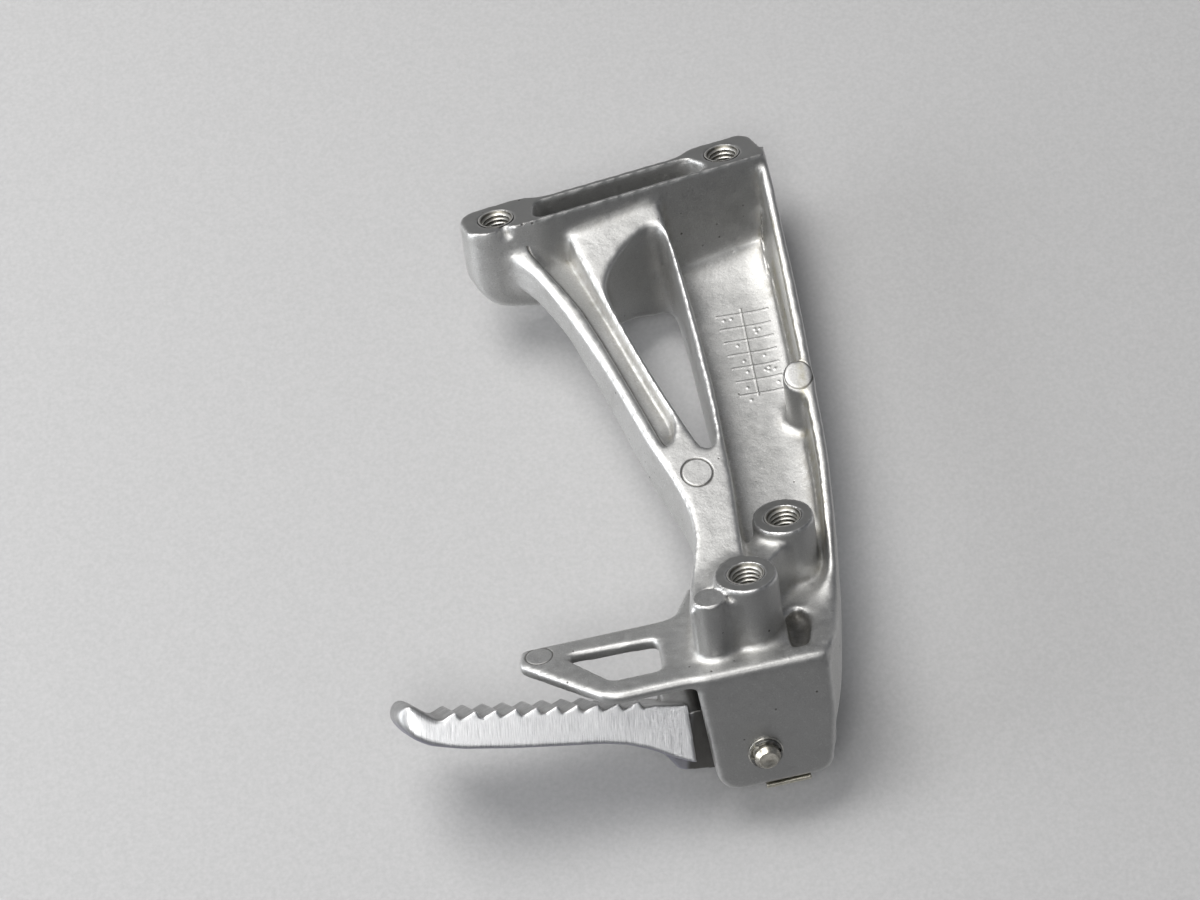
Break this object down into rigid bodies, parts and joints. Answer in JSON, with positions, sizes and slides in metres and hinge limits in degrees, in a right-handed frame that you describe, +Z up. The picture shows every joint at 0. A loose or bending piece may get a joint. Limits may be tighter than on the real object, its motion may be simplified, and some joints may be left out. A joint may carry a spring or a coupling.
{
  "type": "folding passenger foot peg",
  "caption": "Folding serrated foot peg on a cast hanger bracket with threaded frame bosses, a clevis pivot pin and a ball detent.",
  "frame": {"origin": "centre of the mouth of the threaded hole in the boss next to the pivot", "axes": "the part lies on its outboard side on a level surface: +Z up, +Y from the clevis towards the mounting flange, +X away from the folded peg's tip"},
  "size_m": [0.1282, 0.1781, 0.0555],
  "materials": {
    "cast_alloy": "tumbled die casting, satin silver",
    "peg_alloy": "bright, ground across its sides",
    "pin_steel": "zinc plated, dulled",
    "plated_steel": "zinc plated",
    "dark_steel": "phosphated spring steel",
    "plated_sheet": "zinc plated sheet",
    "ball_steel": "polished bearing ball",
    "spring_steel": "bright spring wire"
  },
  "bodies": {
    "hanger": {"hanger_bracket": "cast_alloy", "pivot_pin": "pin_steel", "pin_washer": "plated_steel", "pin_clip": "dark_steel", "detent_plate": "plated_sheet"},
    "peg": {"foot_peg": "peg_alloy", "detent_spring": "spring_steel"},
    "ball": {"detent_ball": "ball_steel"}
  },
  "joints": [
    {"name": "peg_fold", "type": "hinge", "parent": "hanger", "child": "peg", "pos_m": [-0.003, -0.02337, -0.03551], "axis": [0, -0.848, 0.5299], "range_deg": [0, 100]},
    {"name": "ball_slide", "type": "slide", "parent": "peg", "child": "ball", "axis": [0, 0.848, -0.5299], "range_m": [0, 0.0003]}
  ]
}
